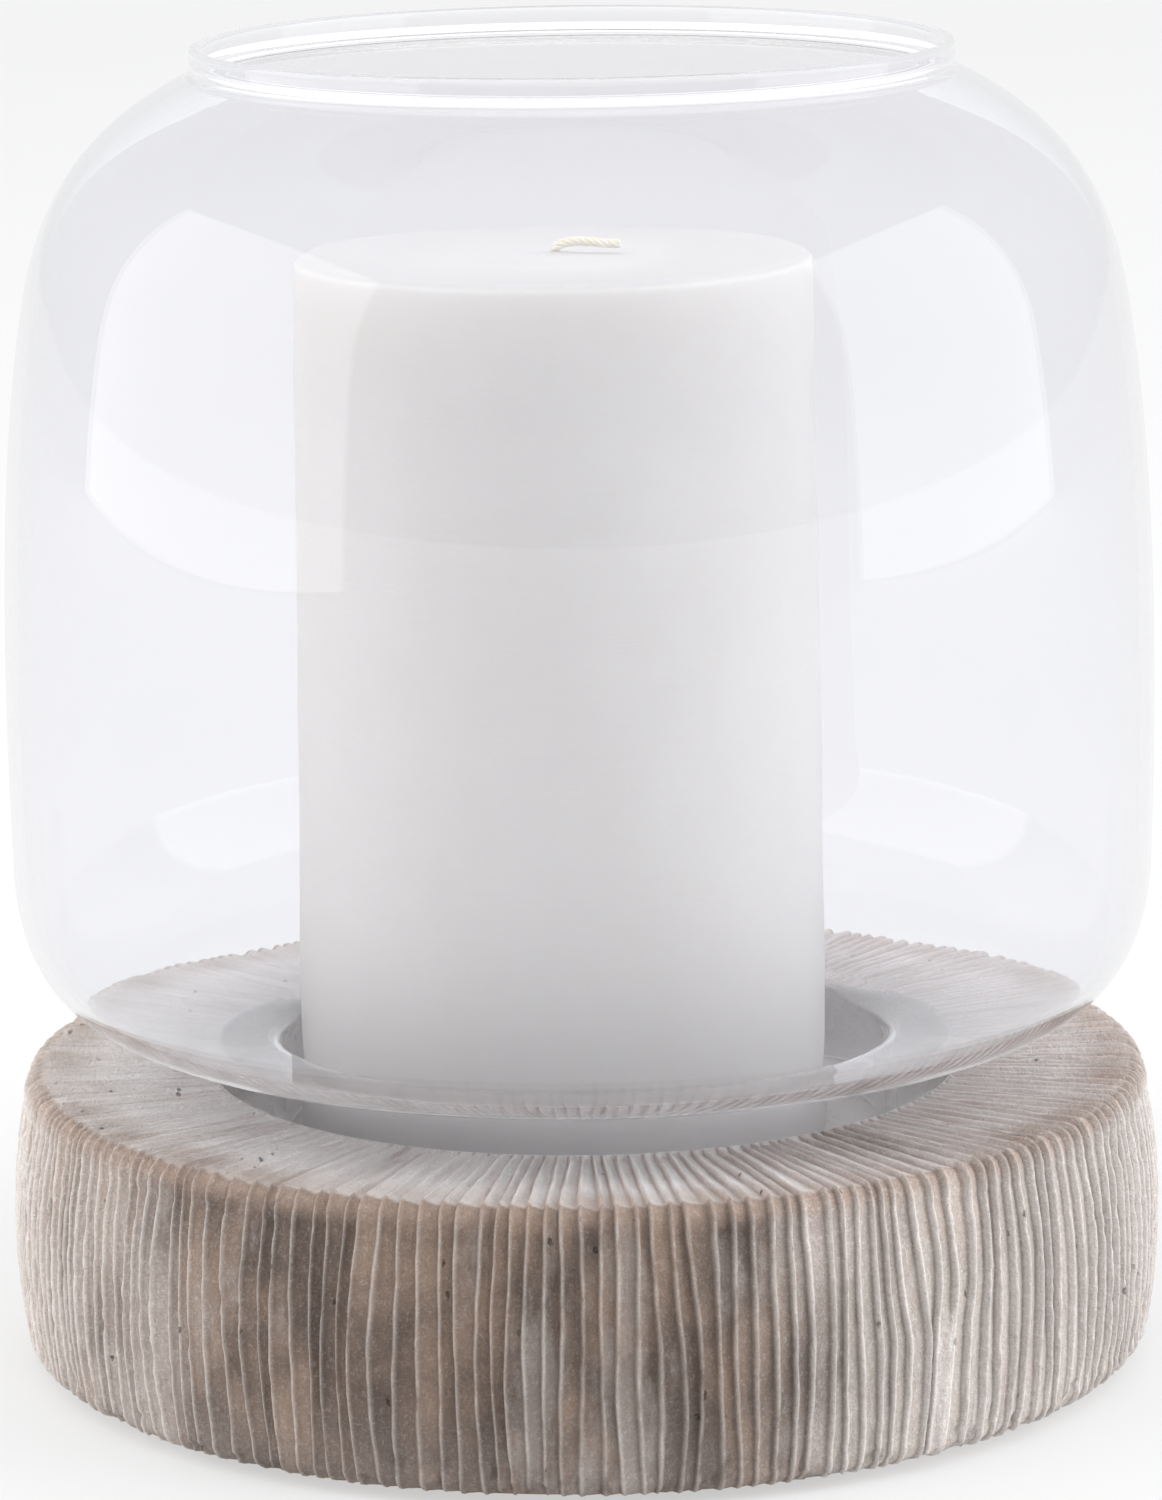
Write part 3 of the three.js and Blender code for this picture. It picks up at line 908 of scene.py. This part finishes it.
def make_studio(settings):
    """A wide table that glows, a soft box on either side and one overhead, a room that is
    brighter overhead and behind the lantern than before it, and the camera. The boxes and
    the room are dimmer where a mirror image shows them."""
    scene = bpy.context.scene
    columns, radius = 96, 9.0
    rim = turned(radius, np.arange(columns) * TURN / columns, 0.0)
    floor = mesh_object("studio_floor", rim, [tuple(range(columns))])
    floor.data.materials.append(floor_material(settings))

    def soft_box(name, azimuth, distance, height, size, brightness, gleam, tone):
        """A box that faces the lantern and is dimmer in mirror images."""
        angle = math.radians(azimuth)
        spot = Vector((distance * math.sin(angle), -distance * math.cos(angle), height))
        overhead = height > size[1]    # it looks down, and the others look level
        facing = Vector((-spot.x, -spot.y, -spot.z if overhead else 0.0))
        turn = facing.to_track_quat("-Z", "Y").to_matrix().to_4x4()
        lamp = bpy.data.lights.new(name, "AREA")
        lamp.shape = "RECTANGLE"
        lamp.size, lamp.size_y = size
        lamp.color = tone
        lamp.energy = brightness * math.pi * size[0] * size[1]
        graph = emptied(lamp)
        glow = graph.node("ShaderNodeEmission", None, {
            "Strength": 1 - mirror_image(graph) * (1 - gleam / brightness)})
        graph.node("ShaderNodeOutputLight", None, {"Surface": glow})
        new_object(name, lamp).matrix_world = Matrix.Translation(spot) @ turn

    bright, gleam = settings.box_brightness, settings.gleam
    soft_box("left_box", -79, 1.9, 0.88, (2.5, 1.75), bright, gleam, (1.0, 0.985, 0.965))
    soft_box("right_box", 81, 1.9, 0.88, (1.8, 1.75), bright * 1.6, gleam, (0.965, 0.98, 1.0))
    soft_box("top_box", 0, 0.7, 1.9, (2.2, 1.3), bright * 0.38, 0.05, (1.0, 1.0, 1.0))

    world = bpy.data.worlds.new("studio room")
    graph = emptied(world)
    way = graph.node("ShaderNodeTexCoord", out="Generated")
    facing = graph.sum("DOT_PRODUCT", way, (0.0, 0.6, 0.8), out="Value")
    level = graph.ramp(facing, -0.6, 0.7, settings.room_front, settings.room_back)
    height = graph.axis(way, "Z")
    glow = graph.ramp(height, 0, 0.3, settings.horizon, 0)
    level = graph.sum("MAXIMUM", level, glow)
    level = level * (1 - mirror_image(graph) * (1 - settings.mirrored))
    sky = graph.node("ShaderNodeBackground", None, {
        "Color": (0.985, 0.99, 1.0, 1.0), "Strength": level})
    graph.node("ShaderNodeOutputWorld", None, {"Surface": sky})
    scene.world = world
    scene.view_settings.view_transform = "Standard"
    for kind, bounces in (("max", 96), ("transmission", 96), ("glossy", 96), ("diffuse", 8)):
        setattr(scene.cycles, kind + "_bounces", bounces)

    lens = bpy.data.cameras.new("camera")
    lens.lens = settings.lens
    lens.sensor_width = 36.0
    lens.clip_start = 0.05
    camera = new_object("camera", lens)
    aim = Matrix.Rotation(math.pi / 2 - settings.tilt, 4, "X")
    spot = Matrix.Translation((0.0, -settings.distance, settings.height))
    camera.matrix_world = spot @ aim @ Matrix.Rotation(settings.roll, 4, "Z")
    scene.camera = camera


# ---- settings

def number(name, description, default, **more):
    """A plain number."""
    return bpy.props.FloatProperty(name=name, description=description, default=default, **more)


def length(name, description, default):
    """A length in metres."""
    return number(name, description, default, unit="LENGTH", precision=5, min=0.0)


def colour(name, description, red, green, blue):
    """A colour, given on a 0 to 255 screen scale."""
    return bpy.props.FloatVectorProperty(
        name=name, description=description, default=shade_of(red, green, blue)[:3],
        size=3, min=0.0, max=1.0, subtype="COLOR")


def count(name, description, default, **more):
    """A whole number."""
    return bpy.props.IntProperty(name=name, description=description, default=default, **more)


def angle(name, description, degrees):
    """An angle, given in degrees."""
    return number(name, description, math.radians(degrees), subtype="ANGLE")


class LanternBaseSettings(bpy.types.PropertyGroup):
    """Sizes and colours of the combed base."""

    flutes: count("Flutes", "Flutes all the way round", 204, min=12, max=400)
    side_depth: length("Side depth", "How deep the flutes are on the side", 1.25 * MM)
    top_depth: length("Top depth", "How deep the flutes are on the top", 1.0 * MM)
    wander: length("Wander", "How far the flutes sway sideways", 0.38 * MM)
    unevenness: number("Unevenness", "How much the flutes differ in width", 0.38, min=0, max=0.8)
    merges: count("Merges", "Places where two ridges run into one", 7, min=0)
    grain: length("Grain", "Coarse grain of the casting", 0.42 * MM)
    chips: length("Chips", "Depth of the chips along the heel", 1.3 * MM)
    seed: count("Seed", "Changes the layout", 11)
    clay: colour("Clay", "Bare clay where the wash is rubbed off", 158, 138, 124)
    # Umber is also the colour of the painted shade in the crease of each scoop.
    umber: colour("Umber", "Darker clay in the scoops", 108, 95, 87)
    wash: colour("Wash", "Grey lime wash", 168, 158, 152)
    lime: colour("Lime", "White lime left on the ridges", 229, 222, 218)
    # The pale wash is painted light: it lightens the flanks of the base towards the side lamps.
    pale: colour("Pale wash", "Thick wash on the flanks", 208, 197, 190)
    mauve: colour("Mauve", "Thin wash between the ridges of the top", 212, 195, 189)
    # Chalk is the real wash of the top; in the well it is painted light.
    chalk: colour("Chalk", "Thick chalky wash on the top", 252, 249, 248)
    peach: colour("Crest", "Clay worn through at the crest", 174, 153, 140)


class LanternShadeSettings(bpy.types.PropertyGroup):
    """Sizes and colour of the glass."""

    wall: length("Wall", "Thickness of the glass", 2.2 * MM)
    waves: length("Waves", "Height of the waves left by blowing", 0.12 * MM)
    # Painted light: every face of the glass glows faintly, standing for the haze of dust.
    painted_haze_glow: number("Haze", "Faint glow of the dust on each face of the glass", 0.008, min=0)
    tint: colour("Tint", "Colour of the glass", 247, 247, 249)


class LanternCandleSettings(bpy.types.PropertyGroup):
    """Sizes and colours of the candle, its wick and the wick's steel foot."""

    edge: length("Edge", "Radius of the rounded edges", 2.2 * MM)
    taper: length("Taper", "How much slimmer the top is than the foot", 1.8 * MM)
    dish: length("Dish", "How far the top sinks towards the wick", 0.5 * MM)
    uneven: length("Unevenness", "How uneven the side and the top are", 0.25 * MM)
    wax: colour("Wax", "Colour of the wax", 248, 246, 244)
    threads: count("Threads", "Threads in the wick", 4, min=2, max=12)
    thread_radius: length("Thread radius", "Radius of one thread", 0.42 * MM)
    spread: length("Spread", "Radius of the circle that the threads wind on", 0.5 * MM)
    lay: length("Lay", "Length of one full turn of a thread", 5.5 * MM)
    cotton: colour("Cotton", "Colour of the wick", 246, 240, 222)
    steel: colour("Steel", "Colour of the steel foot", 214, 216, 218)


class LanternPadSettings(bpy.types.PropertyGroup):
    """Look of the felt pads."""

    felt: colour("Felt", "Colour of the felt", 84, 78, 72)
    fibres: number("Fibres", "Loose fibres on a square metre of edge", 9.0e6, min=0)


class LanternStudioSettings(bpy.types.PropertyGroup):
    """Floor, light and camera."""

    floor: colour("Floor", "Colour of the floor", 150, 150, 150)
    box_brightness: number("Soft boxes", "Brightness of the soft boxes", 2.2, min=0)
    gleam: number("Gleam", "Brightness of the soft boxes in reflections", 0.8, min=0)
    mirrored: number("Mirrored", "Share of the room that shows in reflections", 0.7,
                     min=0, max=1)
    table_glow: number("Table glow", "Light that the table gives off", 0.52, min=0)
    room_back: number("Back", "Brightness of the room overhead and behind", 1.22, min=0)
    horizon: number("Horizon", "Brightness of the room just above the floor", 0.75, min=0)
    room_front: number("Front", "Brightness of the room before the lantern", 0.4, min=0)
    distance: length("Distance", "From the lantern's axis to the camera", 1.128)
    height: length("Height", "Height of the camera", 0.3545)
    lens: number("Lens", "Focal length in millimetres", 147.7, min=10)
    tilt: angle("Tilt", "How far the camera looks down", 12.08)
    roll: angle("Roll", "How far the camera leans", -0.75)


class LanternSettings(bpy.types.PropertyGroup):
    """All settings of the lantern."""

    base: bpy.props.PointerProperty(type=LanternBaseSettings)
    shade: bpy.props.PointerProperty(type=LanternShadeSettings)
    candle: bpy.props.PointerProperty(type=LanternCandleSettings)
    pads: bpy.props.PointerProperty(type=LanternPadSettings)
    studio: bpy.props.PointerProperty(type=LanternStudioSettings)


# ---- operators

class LANTERN_OT_base(bpy.types.Operator):
    """Make the combed base"""

    bl_idname = "lantern.base"
    bl_label = "Base"

    def execute(self, context):
        make_base(context.scene.lantern.base)
        return {"FINISHED"}


class LANTERN_OT_pads(bpy.types.Operator):
    """Make the four felt pads"""

    bl_idname = "lantern.pads"
    bl_label = "Felt Pads"

    def execute(self, context):
        make_pads(context.scene.lantern.pads)
        return {"FINISHED"}


class LANTERN_OT_candle(bpy.types.Operator):
    """Make the pillar candle"""

    bl_idname = "lantern.candle"
    bl_label = "Candle"

    def execute(self, context):
        make_candle(context.scene.lantern.candle)
        return {"FINISHED"}


class LANTERN_OT_wick(bpy.types.Operator):
    """Make the braided wick"""

    bl_idname = "lantern.wick"
    bl_label = "Wick"

    def execute(self, context):
        make_wick(context.scene.lantern.candle)
        return {"FINISHED"}


class LANTERN_OT_sustainer(bpy.types.Operator):
    """Make the steel foot that holds the wick"""

    bl_idname = "lantern.sustainer"
    bl_label = "Wick Sustainer"

    def execute(self, context):
        make_sustainer(context.scene.lantern.candle)
        return {"FINISHED"}


class LANTERN_OT_shade(bpy.types.Operator):
    """Make the blown glass shade"""

    bl_idname = "lantern.shade"
    bl_label = "Glass Shade"

    def execute(self, context):
        make_shade(context.scene.lantern.shade)
        return {"FINISHED"}


class LANTERN_OT_studio(bpy.types.Operator):
    """Make the floor, the lights and the camera"""

    bl_idname = "lantern.studio"
    bl_label = "Studio"

    def execute(self, context):
        make_studio(context.scene.lantern.studio)
        return {"FINISHED"}


OPERATORS = (
    LANTERN_OT_studio,
    LANTERN_OT_base,
    LANTERN_OT_pads,
    LANTERN_OT_candle,
    LANTERN_OT_wick,
    LANTERN_OT_sustainer,
    LANTERN_OT_shade,
)


class LANTERN_PT_panel(bpy.types.Panel):
    """The lantern's buttons and settings"""

    bl_idname = "LANTERN_PT_panel"
    bl_label = "Hurricane Lantern"
    bl_space_type = "VIEW_3D"
    bl_region_type = "UI"
    bl_category = "Lantern"

    def draw(self, context):
        for operator in OPERATORS:
            self.layout.operator(operator.bl_idname)
        for group in ("base", "shade", "candle", "pads", "studio"):
            box = self.layout.box()
            box.label(text=group.capitalize())
            settings = getattr(context.scene.lantern, group)
            for name in settings.__annotations__:
                box.prop(settings, name)


CLASSES = (
    LanternBaseSettings,
    LanternShadeSettings,
    LanternCandleSettings,
    LanternPadSettings,
    LanternStudioSettings,
    LanternSettings,
    *OPERATORS,
    LANTERN_PT_panel,
)


def register():
    """Adds the classes and the scene's settings."""
    for item in CLASSES:
        bpy.utils.register_class(item)
    bpy.types.Scene.lantern = bpy.props.PointerProperty(type=LanternSettings)


def unregister():
    """Takes them away again."""
    del bpy.types.Scene.lantern
    for item in reversed(CLASSES):
        bpy.utils.unregister_class(item)


def main():
    """Makes the lantern and its studio."""
    register()
    for operator in OPERATORS:
        group, name = operator.bl_idname.split(".")
        getattr(getattr(bpy.ops, group), name)()


if __name__ == "__main__":
    main()
